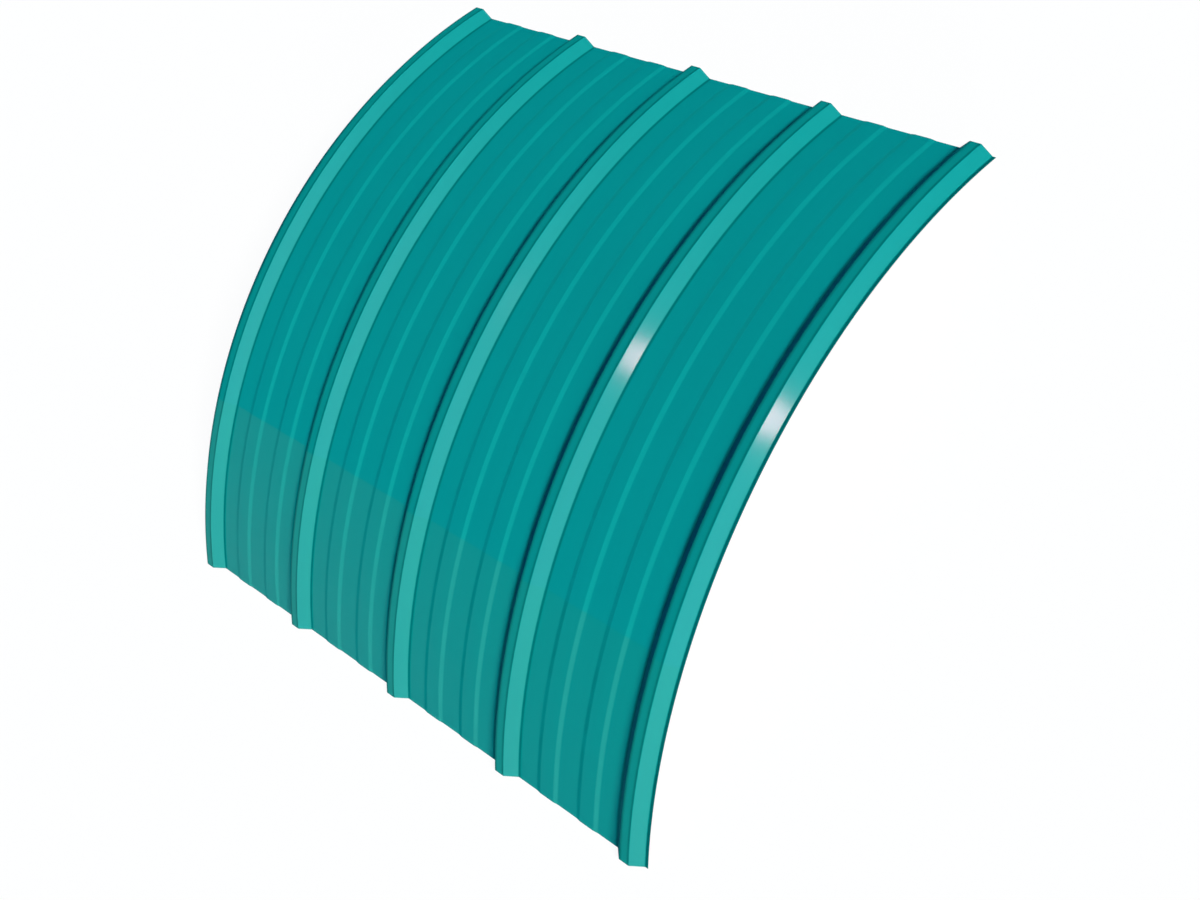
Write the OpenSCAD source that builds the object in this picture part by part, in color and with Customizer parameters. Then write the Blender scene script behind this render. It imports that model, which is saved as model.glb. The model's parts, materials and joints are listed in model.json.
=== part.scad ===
// Arched five-rib profiled roofing sheet, one piece of roll-formed coated steel.
// The sheet stands on its two cut ends like a low arch. X runs across the ribs, Y along the
// chord of the arch and +Z up. The origin is on the floor, under the middle of the sheet.

/* [Sheet] */
// Thickness of the coated steel
sheet_t = 0.5; // [0.4:0.05:1]
// Length of the sheet, measured along the underside of its pans
sheet_len = 1010; // [700:10:1500]
// Radius of the arch at the underside of the pans
arch_r = 790; // [650:10:2500]

/* [Main ribs] */
// Number of main ribs
rib_count = 5; // [3:1:7]
// Distance from the middle of one main rib to the next
rib_pitch = 225; // [210:5:300]
// Height of a main rib above the pans
rib_h = 13.5; // [8:0.5:20]
// Width of a main rib between its two feet
rib_foot_w = 46; // [38:1:60]
// Width of the flat crest of a main rib
rib_crest_w = 16; // [10:1:24]
// Inside radius of the bends at the feet and crest of a main rib
rib_bend_r = 2; // [1:0.25:3.5]
// Flat lip that runs out past the outer foot of the first and last rib
lap_lip = 4.5; // [2:0.5:12]

/* [Stiffening ribs] */
// Number of low stiffening ribs in each pan
stiff_count = 2; // [1:1:2]
// Distance between the two stiffening ribs of a pan
stiff_pitch = 72; // [60:1:80]
// Height of a stiffening rib above the pan
stiff_h = 1.2; // [0.8:0.1:3]
// Width of a stiffening rib between its two feet
stiff_foot_w = 38; // [32:0.5:44]
// Width of the flat top of a stiffening rib
stiff_crest_w = 24; // [12:0.5:29]
// Inside radius of the bends of a stiffening rib
stiff_bend_r = 8; // [2:0.5:10]

/* [Hidden] */
// Chords that stand for the round of each bend
rib_bend_steps = 4;
stiff_bend_steps = 3;
// The sheet's colour, a blue-green coating
coat_colour = [0, 0.56, 0.55];
arc_deg = sheet_len / arch_r * 180 / PI;
// Height of the arch's centre over the floor, below it and so negative
centre_z = -arch_r * cos(arc_deg / 2);
sheet_half_w = (rib_count - 1) * rib_pitch / 2;

// The folds of one rib standing on the pan: [x, height, inside radius, steps] at each corner
function rib_folds(x, foot_w, crest_w, h, r, steps) = [
    [x - foot_w / 2, 0, r, steps],
    [x - crest_w / 2, h, r, steps],
    [x + crest_w / 2, h, r, steps],
    [x + foot_w / 2, 0, r, steps]
];

function main_rib(i) =
    rib_folds(i * rib_pitch - sheet_half_w, rib_foot_w, rib_crest_w, rib_h, rib_bend_r, rib_bend_steps);

// The stiffening ribs of the pan that follows main rib i, spread evenly about its middle
function pan_ribs(i) = [
    for (k = [0:stiff_count - 1])
        each rib_folds(
            (i + 0.5) * rib_pitch - sheet_half_w + (k - (stiff_count - 1) / 2) * stiff_pitch,
            stiff_foot_w, stiff_crest_w, stiff_h, stiff_bend_r, stiff_bend_steps)
];

// Every corner of the section in order across the sheet, with the edge of each lip
lip_x = sheet_half_w + rib_foot_w / 2 + lap_lip;
folds = [
    [-lip_x, 0, 0, 0],
    for (i = [0:rib_count - 1]) each concat(main_rib(i), i < rib_count - 1 ? pan_ribs(i) : []),
    [lip_x, 0, 0, 0]
];

function heading(a, b) = atan2(b[1] - a[1], b[0] - a[0]);

// Points of one face of the steel round corner i. A corner is held at half the thickness, so
// the upper face (side 1) and the lower face (side -1) are arcs about one centre.
function bend(i, side) =
    let (
        into = heading(folds[i - 1], folds[i]),
        out = heading(folds[i], folds[i + 1]),
        turn = out - into,
        s = sign(turn),
        mid_r = folds[i][2] + sheet_t / 2,
        back = mid_r * tan(abs(turn) / 2),
        start = [folds[i][0] - back * cos(into), folds[i][1] - back * sin(into)],
        centre = start + s * mid_r * [-sin(into), cos(into)],
        r = mid_r - side * s * sheet_t / 2
    )
    [
        for (k = [0:folds[i][3]])
            let (a = into + turn * k / folds[i][3])
                centre + s * r * [sin(a), -cos(a)]
    ];

// One face of the steel from lip to lip
function face(side) = [
    folds[0] + [0, side * sheet_t / 2, 0, 0],
    for (i = [1:len(folds) - 2]) each bend(i, side),
    folds[len(folds) - 1] + [0, side * sheet_t / 2, 0, 0]
];

function reversed(list) = [for (i = [len(list) - 1:-1:0]) list[i]];

// The section, as [distance from the arch's axis, place along that axis]
module section() {
    outline = concat(face(1), reversed(face(-1)));
    polygon([for (p = outline) [arch_r + sheet_t / 2 + p[1], -p[0]]]);
}

// The profiled sheet: its section swept round the arch, its middle uppermost
module sheet() {
    color(coat_colour)
        translate([0, 0, centre_z])
            rotate([0, -90, 0])
                rotate([0, 0, -arc_deg / 2])
                    rotate_extrude(angle = arc_deg, $fn = 360)
                        section();
}

sheet();
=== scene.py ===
import json
import math

import bpy
import numpy as np
from bpy.props import FloatProperty, FloatVectorProperty, IntProperty, PointerProperty
from bpy.types import NodeSocket, Operator, Panel, PropertyGroup
from mathutils import Matrix, Vector


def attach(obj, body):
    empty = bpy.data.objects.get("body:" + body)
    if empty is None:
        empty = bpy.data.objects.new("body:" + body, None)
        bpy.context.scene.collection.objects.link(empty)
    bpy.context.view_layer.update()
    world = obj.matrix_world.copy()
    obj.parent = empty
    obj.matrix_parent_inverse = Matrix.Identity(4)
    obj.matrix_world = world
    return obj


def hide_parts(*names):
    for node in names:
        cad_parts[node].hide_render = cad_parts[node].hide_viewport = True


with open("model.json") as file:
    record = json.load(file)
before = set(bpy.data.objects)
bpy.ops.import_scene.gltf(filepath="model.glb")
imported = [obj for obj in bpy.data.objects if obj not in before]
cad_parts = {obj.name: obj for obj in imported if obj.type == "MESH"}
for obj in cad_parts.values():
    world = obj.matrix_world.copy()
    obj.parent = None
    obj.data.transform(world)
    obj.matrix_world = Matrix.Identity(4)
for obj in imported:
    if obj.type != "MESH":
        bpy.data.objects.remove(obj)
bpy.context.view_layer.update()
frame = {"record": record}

bl_info = {
    "name": "Arched profiled sheet",
    "version": (1, 0, 0),
    "blender": (4, 5, 0),
    "location": "3D View > Sidebar > Profiled sheet",
    "description": "Adds an arched, coated steel roofing sheet and a plain studio to show it in",
    "category": "Object",
}

SHEET_NODE = "sheet"
COAT_COLOUR = frame["record"]["materials"][0]["base_color"][:3]

# Places of the three finishes in the mesh's list of materials
TOP, BACK, CUT = 0, 1, 2
# Straight steps round a bend of a main rib, round a bend of a stiffening rib and round the arch
RIB_BEND_STEPS, STIFF_BEND_STEPS, ARCH_STEPS = 6, 4, 112
# Metres over which the edge of a mark in the coat fades
SOFT = 0.001
# How far noise is drawn out along the ribs: the smaller the share, the longer it comes out
ROLLED, STREAKED = 0.02, 0.4
# The clear gloss over the paint: a high index at a small weight, so that it shows lamps and little else
GLOSS = {"Coat Weight": 0.00133, "Coat IOR": 4.0, "Coat Roughness": 0.12}

WHITE = (1.0, 1.0, 1.0)
KEY_TINT = (1.0, 1.0, 0.895)
GLEAM_TINT = (1.0, 0.53, 0.64)


def length(name, description, metres):
    """A length in metres that the user can change."""
    return FloatProperty(name=name, description=description, default=metres, min=0, unit="LENGTH")


def number(name, description, default, least):
    """A whole number that the user can change."""
    return IntProperty(name=name, description=description, default=default, min=least)


def colour(name, description, rgb):
    """A colour, in linear light, that the user can change."""
    return FloatVectorProperty(
        name=name, description=description, default=rgb, subtype="COLOR", min=0, max=1)


def share(name, description, default):
    """A share from 0 to 1 that the user can change."""
    return FloatProperty(
        name=name, description=description, default=default, subtype="FACTOR", min=0, max=1)


def point(name, description, place):
    """A point in metres that the user can change."""
    return FloatVectorProperty(name=name, description=description, default=place, subtype="TRANSLATION")


class SheetSizes(PropertyGroup):
    """Sizes of the sheet, the same as in its plain model"""

    thickness: length("Thickness", "Thickness of the coated steel", 0.0005)
    sheet_length: length("Length", "Length along the underside of the pans", 1.01)
    arch_radius: length("Arch radius", "Radius of the arch at the underside of the pans", 0.79)
    rib_count: number("Main ribs", "Number of main ribs", 5, least=2)
    rib_pitch: length("Rib pitch", "From the middle of one main rib to the next", 0.225)
    rib_height: length("Rib height", "Height of a main rib above the pans", 0.0135)
    rib_foot: length("Rib foot", "Width of a main rib between its feet", 0.046)
    rib_crest: length("Rib crest", "Width of a main rib's flat crest", 0.016)
    rib_bend: length("Rib bend", "Inside radius of a main rib's bends", 0.002)
    lap_lip: length("Lap lip", "Flat lip outside the first and last rib", 0.0045)
    stiff_count: number("Stiffening ribs", "Stiffening ribs in a pan", 2, least=1)
    stiff_pitch: length("Stiffener pitch", "Between the stiffening ribs of a pan", 0.072)
    stiff_height: length("Stiffener height", "Height of a stiffening rib", 0.0012)
    stiff_foot: length("Stiffener foot", "Width of a stiffening rib between its feet", 0.038)
    stiff_crest: length("Stiffener crest", "Width of a stiffening rib's flat top", 0.024)
    stiff_bend: length("Stiffener bend", "Inside radius of a stiffening rib's bends", 0.008)


class SheetFinish(PropertyGroup):
    """Colours of the sheet, with painted light and shade in the top coat"""

    coat: colour("Coat", "Colour of the top coat", COAT_COLOUR)
    # Painted shade: how far the coat is darkened beside the folds of a main rib, as shade lines
    crease_shade: share("Crease shade", "How far the coat darkens beside the folds of a main rib", 0.42)
    # Painted sheen: a paler colour laid on the main ribs' flanks, more towards the front end
    flank_sheen: colour("Flank sheen", "Colour that the main ribs' flanks fade to as they weather", (0.5, 0.58, 0.56))
    # A darker tone given to the crests of the main ribs
    crest: colour("Crest", "Colour that the crests of the main ribs wear to", (0.002, 0.238, 0.215))
    # Painted light: a lighter colour laid on the stiffening ribs' flanks
    stiffener_light: colour("Stiffener light", "Colour that the stiffening ribs' flanks rub to", (0.0035, 0.3, 0.279))
    # Painted light: a greyer tint laid over the front end
    front_tint: colour("Front tint", "Colour of the front end, where rain dries last", (0.001, 0.262, 0.2))
    # Painted light of a low lamp on the front end: its warm grey colour, and the share of the length that
    # it covers
    front_light: colour("Front light", "Colour of the thin film of dust at the front end", (0.16, 0.25, 0.2))
    front_light_reach: share("Front light reach", "Share of the length that the dust covers", 0.27)
    back: colour("Back coat", "Colour of the thin coat on the underside", (0.5, 0.52, 0.5))
    # Painted shade: the cut edges are near black, as shade lines along the outline
    edge: colour("Cut edge", "Colour of the cut edges, which the coat has run over", (0.01, 0.08, 0.08))
    roughness: share("Roughness", "Roughness of the top coat", 0.32)


class StudioSettings(PropertyGroup):
    """Floor, light and camera round the sheet"""

    floor: colour("Floor", "Colour of the floor", (0.95, 0.95, 0.95))
    ambient: colour("Ambient", "Colour of the faint light from all round", (0.0, 0.1, 0.255))
    eye: point("Eye", "Where the camera stands", (1.5247, -0.0211, 1.7656))
    aim: point("Aim", "Point that the camera looks at", (0.0932, -0.0544, 0.15))
    roll: FloatProperty(
        name="Roll", description="How far the camera is turned about its own axis",
        default=math.radians(-65.1), subtype="ANGLE")


def arch_angle(sizes):
    """Angle of the arch from its front end to its back end."""
    return sizes.sheet_length / sizes.arch_radius


def arch_centre(sizes):
    """Height of the arch's centre, which is below the floor."""
    return -sizes.arch_radius * math.cos(arch_angle(sizes) / 2)


def half_cover(sizes):
    """From the middle of the sheet to the middle of its last rib."""
    return (sizes.rib_count - 1) * sizes.rib_pitch / 2


def rib_folds(x, foot, crest, height, radius, steps):
    """The four folds of a rib standing on the pan, each as (x, height, inside radius, steps)."""
    return [
        (x - foot / 2, 0, radius, steps),
        (x - crest / 2, height, radius, steps),
        (x + crest / 2, height, radius, steps),
        (x + foot / 2, 0, radius, steps),
    ]


def main_rib(sizes, x):
    """The folds of the main rib that stands here."""
    return rib_folds(
        x, sizes.rib_foot, sizes.rib_crest, sizes.rib_height, sizes.rib_bend, RIB_BEND_STEPS)


def pan_ribs(sizes, x):
    """The folds of the stiffening ribs in the pan that follows the main rib here."""
    folds = []
    for k in range(sizes.stiff_count):
        middle = x + sizes.rib_pitch / 2 + (k - (sizes.stiff_count - 1) / 2) * sizes.stiff_pitch
        folds += rib_folds(
            middle, sizes.stiff_foot, sizes.stiff_crest, sizes.stiff_height, sizes.stiff_bend,
            STIFF_BEND_STEPS)
    return folds


def section_folds(sizes):
    """Every fold of the section in order, with the edge of the lip at either end."""
    edge = half_cover(sizes) + sizes.rib_foot / 2 + sizes.lap_lip
    middles = [i * sizes.rib_pitch - half_cover(sizes) for i in range(sizes.rib_count)]
    folds = [(-edge, 0, 0, 0)]
    for x in middles[:-1]:
        folds += main_rib(sizes, x) + pan_ribs(sizes, x)
    return folds + main_rib(sizes, middles[-1]) + [(edge, 0, 0, 0)]


def face_line(folds, thickness, side):
    """Points of one face of the steel across the sheet, with the face's normals there.

    The side is 1 for the upper face and -1 for the underside. The folds lie in the middle of the
    steel, and in each bend the two faces are arcs about one centre.
    """
    half = side * thickness / 2
    points = [(folds[0][0], folds[0][1] + half)]
    normals = [(0, side)]
    for before, fold, after in zip(folds, folds[1:], folds[2:]):
        x, height, inside_radius, steps = fold
        into = math.atan2(height - before[1], x - before[0])
        out = math.atan2(after[1] - height, after[0] - x)
        turn = out - into
        left = math.copysign(1, turn)
        middle_radius = inside_radius + thickness / 2
        back = middle_radius * math.tan(abs(turn) / 2)
        centre_x = x - back * math.cos(into) - left * middle_radius * math.sin(into)
        centre_z = height - back * math.sin(into) + left * middle_radius * math.cos(into)
        radius = left * (middle_radius - left * half)
        for k in range(steps + 1):
            angle = into + turn * k / steps
            points.append((centre_x + radius * math.sin(angle), centre_z - radius * math.cos(angle)))
            normals.append((-side * math.sin(angle), side * math.cos(angle)))
    points.append((folds[-1][0], folds[-1][1] + half))
    normals.append((0, side))
    return points, normals


def section_ring(sizes):
    """The section as one closed line, the upper face first, as points and as normals."""
    folds = section_folds(sizes)
    upper, upper_normals = face_line(folds, sizes.thickness, 1)
    lower, lower_normals = face_line(folds, sizes.thickness, -1)
    return np.array(upper + lower[::-1]), np.array(upper_normals + lower_normals[::-1])


def swept(sizes, ring, ring_normals):
    """Points and normals of the section at each step round the arch, one section after another."""
    angles = np.linspace(-arch_angle(sizes) / 2, arch_angle(sizes) / 2, ARCH_STEPS + 1)
    radius = sizes.arch_radius + sizes.thickness / 2 + ring[:, 1]
    shape = (len(angles), len(ring))
    points = [
        np.broadcast_to(ring[:, 0], shape),
        np.outer(np.sin(angles), radius),
        np.outer(np.cos(angles), radius) + arch_centre(sizes),
    ]
    normals = [
        np.broadcast_to(ring_normals[:, 0], shape),
        np.outer(np.sin(angles), ring_normals[:, 1]),
        np.outer(np.cos(angles), ring_normals[:, 1]),
    ]
    return [np.stack(parts, axis=2).reshape(-1, 3) for parts in (points, normals)]


def sheet_faces(count):
    """Faces between the sections and over the two cut ends, and the finish of each.

    The count is of the points in one section: half are on the upper face, half on the underside.
    """
    half = count // 2
    last = ARCH_STEPS * count
    faces = []
    for row in range(0, last, count):
        for i in range(count):
            k = (i + 1) % count
            faces.append((row + i, row + k, row + count + k, row + count + i))
    slots = ([TOP] * (half - 1) + [CUT] + [BACK] * (half - 1) + [CUT]) * ARCH_STEPS
    for i in range(half - 1):
        a, b, c, d = i, i + 1, count - 2 - i, count - 1 - i
        faces.append((d, c, b, a))
        faces.append((last + a, last + b, last + c, last + d))
        slots += [CUT, CUT]
    return faces, slots


def sheet_mesh(sizes):
    """The sheet as one closed mesh: upper face, underside and the four cut edges, with exact normals."""
    ring, ring_normals = section_ring(sizes)
    points, normals = swept(sizes, ring, ring_normals)
    faces, slots = sheet_faces(len(ring))
    mesh = bpy.data.meshes.new("profiled_sheet")
    mesh.from_pydata(points.tolist(), [], faces)
    mesh.polygons.foreach_set("material_index", slots)
    mesh.polygons.foreach_set("use_smooth", [True] * len(faces))
    mesh.update()
    face_normals = np.empty(len(faces) * 3, np.float32)
    mesh.polygons.foreach_get("normal", face_normals)
    corner_normals = normals[np.array(faces)]
    cut = np.array(slots) == CUT
    corner_normals[cut] = face_normals.reshape(-1, 1, 3)[cut]
    mesh.normals_split_custom_set(corner_normals.reshape(-1, 3).tolist())
    return mesh


class Finish:
    """The nodes of one material or of the world. Every node is added by one method."""

    def __init__(self, owner):
        owner.use_nodes = True
        self.tree = owner.node_tree
        self.tree.nodes.clear()

    def node(self, kind, settings=None, inputs=None):
        """Adds a node of this type, with its settings first and then its sockets' values or links."""
        made = self.tree.nodes.new(kind)
        for name, value in (settings or {}).items():
            setattr(made, name, value)
        for name, value in (inputs or {}).items():
            value = value.socket if isinstance(value, Value) else value
            if isinstance(value, NodeSocket):
                self.tree.links.new(value, made.inputs[name])
            else:
                made.inputs[name].default_value = value
        return made

    def value(self, kind, output, settings=None, inputs=None):
        """One output of a new node, as a number that takes part in sums."""
        return Value(self, self.node(kind, settings, inputs).outputs[output])

    def maths(self, operation, *terms):
        """A Math node on numbers and values."""
        return self.value("ShaderNodeMath", "Value", {"operation": operation}, dict(enumerate(terms)))

    def noise(self, place, waves, detail=2):
        """Noise from 0 to 1 at this many waves a metre."""
        sockets = {"Vector": place, "Scale": waves, "Detail": detail}
        return self.value("ShaderNodeTexNoise", "Fac", {"noise_dimensions": "3D"}, sockets)

    def blend(self, factor, first, second):
        """A colour between the first and the second."""
        # A Mix node has sockets for every kind of data: 6, 7 and output 2 are the ones for colours
        sockets = {0: factor, 6: first, 7: second}
        return self.node("ShaderNodeMix", {"data_type": "RGBA"}, sockets).outputs[2]

    def ready(self, output, shader, kind="ShaderNodeOutputMaterial"):
        """Joins the finished shader to the output."""
        self.node(kind, inputs={output: shader})


class Value:
    """A number that varies over a surface. Sums on it add Math nodes."""

    def __init__(self, finish, socket):
        self.finish = finish
        self.socket = socket

    def __add__(self, other):
        return self.finish.maths("ADD", self, other)

    def __sub__(self, other):
        return self.finish.maths("SUBTRACT", self, other)

    def __rsub__(self, other):
        return self.finish.maths("SUBTRACT", other, self)

    def __mul__(self, other):
        return self.finish.maths("MULTIPLY", self, other)

    def __truediv__(self, other):
        return self.finish.maths("DIVIDE", self, other)

    def __abs__(self):
        return self.finish.maths("ABSOLUTE", self)

    __radd__ = __add__
    __rmul__ = __mul__

    def fade(self, start, end, first=0.0, last=1.0):
        """Goes smoothly from first to last as this value goes from start to end."""
        settings = {"interpolation_type": "SMOOTHSTEP"}
        sockets = {"Value": self, "From Min": start, "From Max": end, "To Min": first, "To Max": last}
        return self.finish.value("ShaderNodeMapRange", "Result", settings, sockets)

    def fall(self, start, end):
        """Goes smoothly from 1 to 0 as this value goes from start to end."""
        return self.fade(start, end, first=1.0, last=0.0)


def linear(rgb, factor=1.0):
    """A colour socket's value, with this much of its light."""
    return tuple(c * factor for c in rgb) + (1.0,)


def sheet_places(finish, sizes):
    """Metres across the ribs, metres along the arch, and both as one place on the flat sheet.

    Both are 0 in the middle of the sheet. The first rib and the front end are on the side below 0.
    """
    place = finish.node("ShaderNodeTexCoord").outputs["Object"]
    axes = finish.node("ShaderNodeSeparateXYZ", inputs={"Vector": place}).outputs
    across, forward, up = (Value(finish, axes[name]) for name in "XYZ")
    along = finish.maths("ARCTAN2", forward, up - arch_centre(sizes)) * sizes.arch_radius
    return across, along, drawn_out(finish, across, along, 1.0)


def drawn_out(finish, across, along, share_along):
    """A place on the flat sheet, at which noise comes out longer along the ribs than across them."""
    return finish.node("ShaderNodeCombineXYZ", inputs={"X": across, "Y": along * share_along}).outputs[0]


def from_rib(finish, sizes, across):
    """Distance across the sheet from the middle of the nearest main rib."""
    half = sizes.rib_pitch / 2
    return abs(finish.maths("WRAP", across + half_cover(sizes), half, -half))


def flank_mask(sizes, away):
    """1 on the flanks of the main ribs, 0 on their crests and on the pans."""
    crest, foot = sizes.rib_crest / 2, sizes.rib_foot / 2
    return away.fade(crest, crest + SOFT) * away.fall(foot - SOFT, foot)


def foot_shade_mask(sizes, away):
    """1 on the pan beside the feet of the main ribs, where the painted front-end light is left out, as
    painted shade.
    """
    foot = sizes.rib_foot / 2
    clean, dusty = foot + 0.003, foot + 0.008
    return away.fade(foot - SOFT, foot) * away.fall(clean, dusty)


def crease_shade_mask(sizes, away):
    """1 on the flats next to a main rib's folds, where the coat is darkened as painted shade lines, 0
    elsewhere.
    """
    crest, foot = sizes.rib_crest / 2, sizes.rib_foot / 2
    core, reach = 0.002, 0.005
    on_crest = away.fade(crest - reach, crest - SOFT) * away.fall(crest - SOFT / 2, crest + SOFT / 2)
    on_pan = away.fade(foot - SOFT, foot) * away.fall(foot + core, foot + reach)
    return on_crest + on_pan


def stiffener_flanks(finish, sizes, across):
    """1 on the left flanks of the stiffening ribs, and 1 on their right flanks."""
    crest, foot, pitch = sizes.stiff_crest / 2, sizes.stiff_foot / 2, sizes.stiff_pitch
    reach = sizes.stiff_count * pitch / 2
    bend = 0.002
    in_pan = finish.maths("WRAP", across + half_cover(sizes), sizes.rib_pitch, 0.0) - sizes.rib_pitch / 2
    aside = finish.maths("WRAP", in_pan + (sizes.stiff_count - 1) * pitch / 2, pitch / 2, -pitch / 2)
    left = aside.fade(-foot - bend, -foot + bend) * aside.fall(-crest - bend, -crest + bend)
    right = aside.fade(crest - bend, crest + bend) * aside.fall(foot - bend, foot + bend)
    on_pan = abs(in_pan).fall(reach, reach + SOFT)
    return left * on_pan, right * on_pan


def lip_mask(sizes, across):
    """1 on the lips outside the first and last rib."""
    foot = half_cover(sizes) + sizes.rib_foot / 2
    return abs(across).fade(foot, foot + SOFT)


def front_light_mask(finish, sizes, looks, across, along, flat):
    """1 at the front end, and how strong the painted light of a low lamp is there: more towards the end
    and the first rib.
    """
    strongest, blur = 0.13, 0.002
    covered = along / sizes.sheet_length + 0.5
    zone = covered.fall(looks.front_light_reach - blur, looks.front_light_reach + blur)
    to_end = covered.fade(0, looks.front_light_reach, first=1, last=0.45)
    to_side = across.fade(-half_cover(sizes), half_cover(sizes), first=1, last=0.2)
    patches = 0.85 + 0.3 * finish.noise(flat, waves=40)
    return zone, zone * to_end * to_side * patches * strongest


def coated_top(sizes, looks):
    """The blue-green top coat: satin paint on roll-formed steel, with painted light and shade in its
    colour.
    """
    material = bpy.data.materials.new("coated_steel_top")
    finish = Finish(material)
    across, along, flat = sheet_places(finish, sizes)
    away = from_rib(finish, sizes, across)
    flank = flank_mask(sizes, away)
    left, right = stiffener_flanks(finish, sizes, across)
    cloud = finish.noise(flat, waves=9, detail=3)
    lines = finish.noise(drawn_out(finish, across, along, ROLLED), waves=260)
    streaks = finish.noise(drawn_out(finish, across, along, STREAKED), waves=60, detail=1)
    peel = finish.noise(flat, waves=900, detail=1)

    # Painted light of a low lamp on the front end. It is left out on the main ribs' flanks, on the pan
    # beside their feet and on the stiffening ribs' left flanks, and the stiffening ribs' right flanks get
    # a little more
    caught = 0.05
    zone, front_light = front_light_mask(finish, sizes, looks, across, along, flat)
    front_light_gaps = flank + foot_shade_mask(sizes, away) + left * across.fade(-0.4, 0.1, first=0.15, last=0.9)
    front_light = front_light * (1 - front_light_gaps) + zone * right * across.fade(-0.3, 0.3) * caught

    # The paint, a little uneven, with painted light on the stiffening ribs' flanks and over the front
    # end, a darker tone on the crests and painted sheen on the main ribs' flanks
    uneven, most_front_tint = 0.03, 0.25
    deeper, paler = linear(looks.coat, 1 - uneven), linear(looks.coat, 1 + uneven)
    # A darker tone on the crests of the main ribs, fading out at their edges
    crest = away.fade(sizes.rib_crest / 2 - SOFT, sizes.rib_crest / 2, first=0.7, last=0)
    tone = finish.blend(0.4 * cloud + 0.6 * lines, deeper, paler)
    # Painted light on the stiffening ribs' flanks: on the left flanks towards the back end, on the right
    # flanks most at the front end
    tone = finish.blend(left * along.fade(-0.3, 0.3), tone, linear(looks.stiffener_light))
    tone = finish.blend(right * along.fade(-0.4, 0.1, first=1, last=0.5), tone, linear(looks.stiffener_light))
    tone = finish.blend(crest, tone, linear(looks.crest))
    # Painted light: a greyer tint over the front end
    tone = finish.blend(zone * most_front_tint, tone, linear(looks.front_tint))
    # Painted sheen on the main ribs' flanks, a little more towards the front end
    tone = finish.blend(flank * along.fade(-0.1, 0.5, first=0.04, last=0.01), tone, linear(looks.flank_sheen))
    tone = finish.blend(front_light, tone, linear(looks.front_light))

    # Painted shade, towards a tenth of the coat's light: on the main ribs' flanks, in lines beside their
    # folds, on the outer lips as a dark outline, and on the stiffening ribs' left flanks at the front end
    dark, lip_dark = 0.1, 0.25
    painted_shade = flank * along.fade(-0.5, -0.2, first=0.14, last=0.09) + crease_shade_mask(sizes, away) * looks.crease_shade
    painted_shade = painted_shade + lip_mask(sizes, across) * lip_dark
    painted_shade = painted_shade + left * zone * across.fade(-0.3, 0.2) * streaks.fade(0.4, 0.65, first=0.03, last=0.11)
    tone = finish.blend(painted_shade, tone, linear(looks.coat, dark))

    rougher, front_light_rougher = 0.06, 0.3
    rough = looks.roughness - rougher / 2 + rougher * cloud + front_light_rougher * front_light
    relief = finish.node("ShaderNodeBump", inputs={
        "Strength": 1.0, "Distance": 0.00001, "Height": peel + 2 * lines})
    shader = finish.node("ShaderNodeBsdfPrincipled", inputs={
        "Base Color": tone, "Roughness": rough, "Specular IOR Level": 0.0,
        "Normal": relief.outputs["Normal"], **GLOSS})
    finish.ready("Surface", shader.outputs[0])
    return material


def coated_back(sizes, looks):
    """The thin pale coat on the underside, a little uneven."""
    material = bpy.data.materials.new("coated_steel_back")
    finish = Finish(material)
    across, along, flat = sheet_places(finish, sizes)
    cloud = finish.noise(flat, waves=14, detail=4)
    lines = finish.noise(drawn_out(finish, across, along, ROLLED), waves=220)
    deeper, paler = linear(looks.back, 0.9), linear(looks.back, 1.06)
    tone = finish.blend(0.5 * cloud + 0.5 * lines, deeper, paler)
    relief = finish.node("ShaderNodeBump", inputs={
        "Strength": 1.0, "Distance": 0.00002, "Height": lines})
    shader = finish.node("ShaderNodeBsdfPrincipled", inputs={
        "Base Color": tone, "Roughness": 0.42 + 0.1 * cloud, "Specular IOR Level": 0.3,
        "Normal": relief.outputs["Normal"]})
    finish.ready("Surface", shader.outputs[0])
    return material


def cut_edge(sizes, looks):
    """The cut edges, painted near black as shade lines along the sheet's outline."""
    material = bpy.data.materials.new("cut_edge")
    finish = Finish(material)
    flat = sheet_places(finish, sizes)[2]
    shear = finish.noise(flat, waves=1500)
    deeper, paler = linear(looks.edge, 0.7), linear(looks.edge, 1.3)
    shader = finish.node("ShaderNodeBsdfPrincipled", inputs={
        "Base Color": finish.blend(shear, deeper, paler), "Roughness": 0.5 + 0.2 * shear,
        "Specular IOR Level": 0.0})
    finish.ready("Surface", shader.outputs[0])
    return material


class OBJECT_OT_profiled_sheet(Operator):
    """Add the arched, coated steel sheet in place of its plain model"""

    bl_idname = "object.profiled_sheet"
    bl_label = "Profiled sheet"
    bl_options = {"REGISTER", "UNDO"}

    def execute(self, context):
        sizes = context.scene.sheet_sizes
        looks = context.scene.sheet_finish
        mesh = sheet_mesh(sizes)
        for material in (coated_top(sizes, looks), coated_back(sizes, looks), cut_edge(sizes, looks)):
            mesh.materials.append(material)
        piece = bpy.data.objects.new("profiled_sheet", mesh)
        context.scene.collection.objects.link(piece)
        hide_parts(SHEET_NODE)
        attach(piece, "root")
        return {"FINISHED"}


def add_lamp(scene, name, towards, strength, width, tint=WHITE, diffuse=True, glossy=True):
    """A soft lamp far away in this direction, which stands for a soft box this many degrees wide."""
    lamp = bpy.data.lights.new(name, "SUN")
    lamp.energy = strength
    lamp.angle = math.radians(width)
    lamp.color = tint
    holder = bpy.data.objects.new(name, lamp)
    holder.rotation_euler = Vector(towards).to_track_quat("Z", "Y").to_euler()
    holder.visible_diffuse = diffuse
    holder.visible_glossy = glossy
    scene.collection.objects.link(holder)


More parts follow.
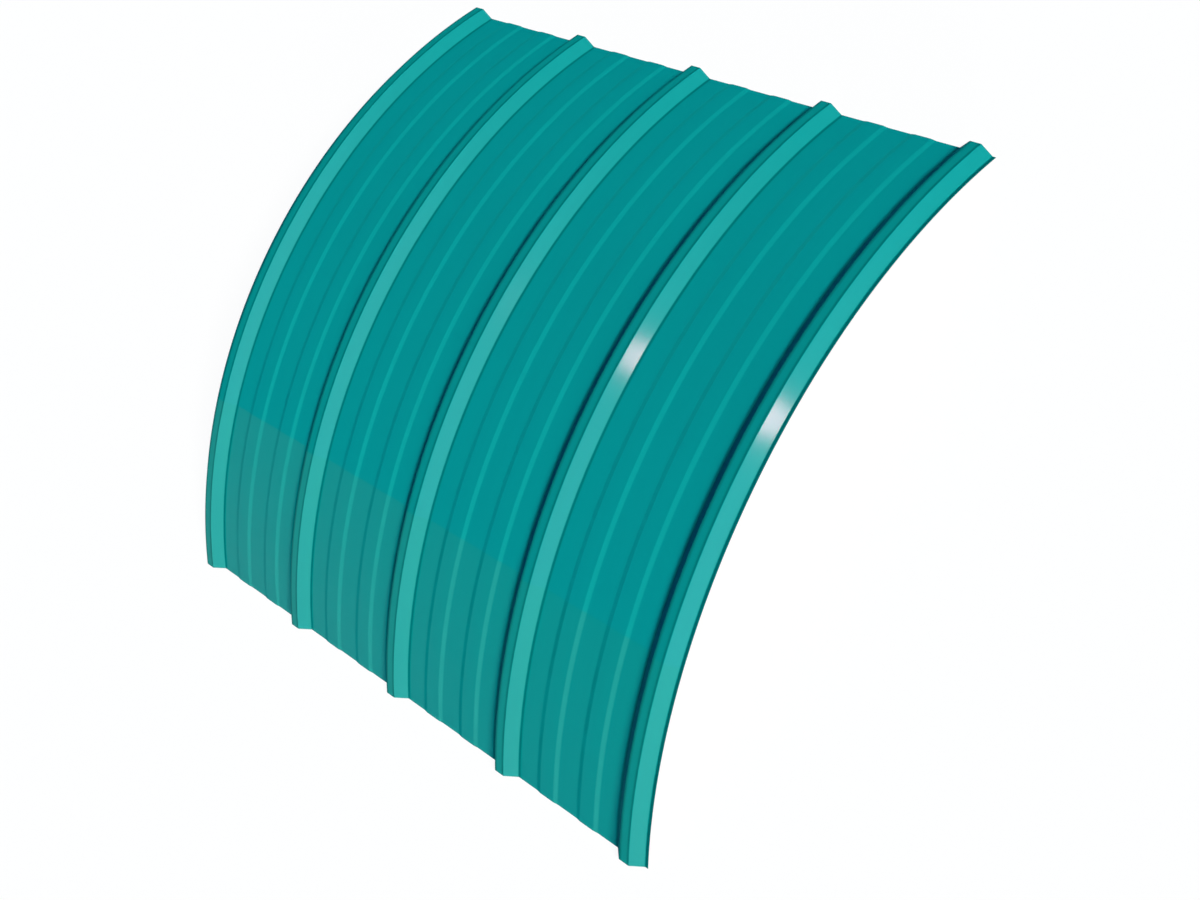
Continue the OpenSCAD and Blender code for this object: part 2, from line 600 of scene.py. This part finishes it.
def add_lamps(scene):
    """A key from the right in two parts, a low fill at the front end and a lamp for the gleam.

    The higher part of the key reaches the pan beside a rib, but not the rib's left flank.
    """
    add_lamp(scene, "key_low", (1.03, 0.12, 0.69), strength=2.35, width=8, tint=KEY_TINT)
    add_lamp(scene, "key_high", (0.81, 0.12, 0.73), strength=2.1, width=8, tint=KEY_TINT, glossy=False)
    add_lamp(scene, "fill", (0.5, -0.92, 0.17), strength=1.1, width=12, glossy=False)
    add_lamp(
        scene, "gleam", (0.7366, 0.1813, 0.6516), strength=22.3, width=6.9, tint=GLEAM_TINT,
        diffuse=False)


def white_to_eye(finish, strength):
    """How far a surface is plain white: this much where the camera or a reflection shows it, else 0."""
    rays = finish.node("ShaderNodeLightPath").outputs
    seen = Value(finish, rays["Is Camera Ray"]) + Value(finish, rays["Is Glossy Ray"])
    seen = finish.maths("MINIMUM", seen + Value(finish, rays["Is Transmission Ray"]), 1.0)
    return seen * strength


def add_floor(scene, studio):
    """A wide pale floor, nearly white to the eye, that keeps a little of the sheet's shadow."""
    half, plain_white = 40, 0.93
    corners = [(-half, -half, 0), (half, -half, 0), (half, half, 0), (-half, half, 0)]
    mesh = bpy.data.meshes.new("floor")
    mesh.from_pydata(corners, [], [(0, 1, 2, 3)])
    material = bpy.data.materials.new("studio_floor")
    finish = Finish(material)
    lit = finish.node("ShaderNodeBsdfDiffuse", inputs={"Color": linear(studio.floor)})
    white = finish.node("ShaderNodeEmission", inputs={"Color": linear(WHITE), "Strength": 1.0})
    factor = white_to_eye(finish, plain_white)
    shown = finish.node("ShaderNodeMixShader", inputs={
        0: factor, 1: lit.outputs[0], 2: white.outputs[0]})
    finish.ready("Surface", shown.outputs[0])
    mesh.materials.append(material)
    floor = bpy.data.objects.new("floor", mesh)
    scene.collection.objects.link(floor)


def set_world(scene, studio):
    """A faint cool light from all round, with a white backdrop to the eye."""
    world = bpy.data.worlds.new("studio")
    scene.world = world
    finish = Finish(world)
    tone = finish.blend(white_to_eye(finish, 1.0), linear(studio.ambient), linear(WHITE))
    glow = finish.node("ShaderNodeBackground", inputs={"Color": tone, "Strength": 1.0})
    finish.ready("Surface", glow.outputs[0], "ShaderNodeOutputWorld")


def set_camera(scene, studio):
    """The camera at the photograph's viewing angle, with its small shift of the lens."""
    # In pixels: the picture, its focal length and the point that the lens is centred on
    picture_width, picture_height = 1200, 900
    focal_length = 1691.8
    centre_x, centre_y = 510, 412
    lens = bpy.data.cameras.new("camera")
    lens.sensor_width = 36
    lens.sensor_fit = "HORIZONTAL"
    lens.lens = focal_length * lens.sensor_width / picture_width
    lens.shift_x = (picture_width / 2 - centre_x) / picture_width
    lens.shift_y = (centre_y - picture_height / 2) / picture_width
    eye, aim = Vector(studio.eye), Vector(studio.aim)
    view = (aim - eye).to_track_quat("-Z", "Y").to_matrix().to_4x4()
    camera = bpy.data.objects.new("camera", lens)
    camera.matrix_world = Matrix.Translation(eye) @ view @ Matrix.Rotation(studio.roll, 4, "Z")
    scene.collection.objects.link(camera)
    scene.camera = camera


class SCENE_OT_sheet_studio(Operator):
    """Set up the floor, lamps and camera round the sheet"""

    bl_idname = "scene.sheet_studio"
    bl_label = "Studio"
    bl_options = {"REGISTER", "UNDO"}

    def execute(self, context):
        scene = context.scene
        scene.view_settings.view_transform = "Standard"
        add_floor(scene, scene.sheet_studio)
        set_world(scene, scene.sheet_studio)
        add_lamps(scene)
        set_camera(scene, scene.sheet_studio)
        return {"FINISHED"}


class VIEW3D_PT_profiled_sheet(Panel):
    """Sizes, finish and studio of the profiled sheet"""

    bl_label = "Profiled sheet"
    bl_space_type = "VIEW_3D"
    bl_region_type = "UI"
    bl_category = "Profiled sheet"

    def draw(self, context):
        scene = context.scene
        self.list_all(scene.sheet_sizes)
        self.list_all(scene.sheet_finish)
        self.layout.operator(OBJECT_OT_profiled_sheet.bl_idname)
        self.list_all(scene.sheet_studio)
        self.layout.operator(SCENE_OT_sheet_studio.bl_idname)

    def list_all(self, group):
        """A row for each property of the group."""
        for name in group.__annotations__:
            self.layout.prop(group, name)


CLASSES = (
    SheetSizes,
    SheetFinish,
    StudioSettings,
    OBJECT_OT_profiled_sheet,
    SCENE_OT_sheet_studio,
    VIEW3D_PT_profiled_sheet,
)


def register():
    for cls in CLASSES:
        bpy.utils.register_class(cls)
    bpy.types.Scene.sheet_sizes = PointerProperty(type=SheetSizes)
    bpy.types.Scene.sheet_finish = PointerProperty(type=SheetFinish)
    bpy.types.Scene.sheet_studio = PointerProperty(type=StudioSettings)


def unregister():
    del bpy.types.Scene.sheet_studio
    del bpy.types.Scene.sheet_finish
    del bpy.types.Scene.sheet_sizes
    for cls in reversed(CLASSES):
        bpy.utils.unregister_class(cls)


def main():
    register()
    bpy.ops.object.profiled_sheet()
    bpy.ops.scene.sheet_studio()


if __name__ == "__main__":
    main()
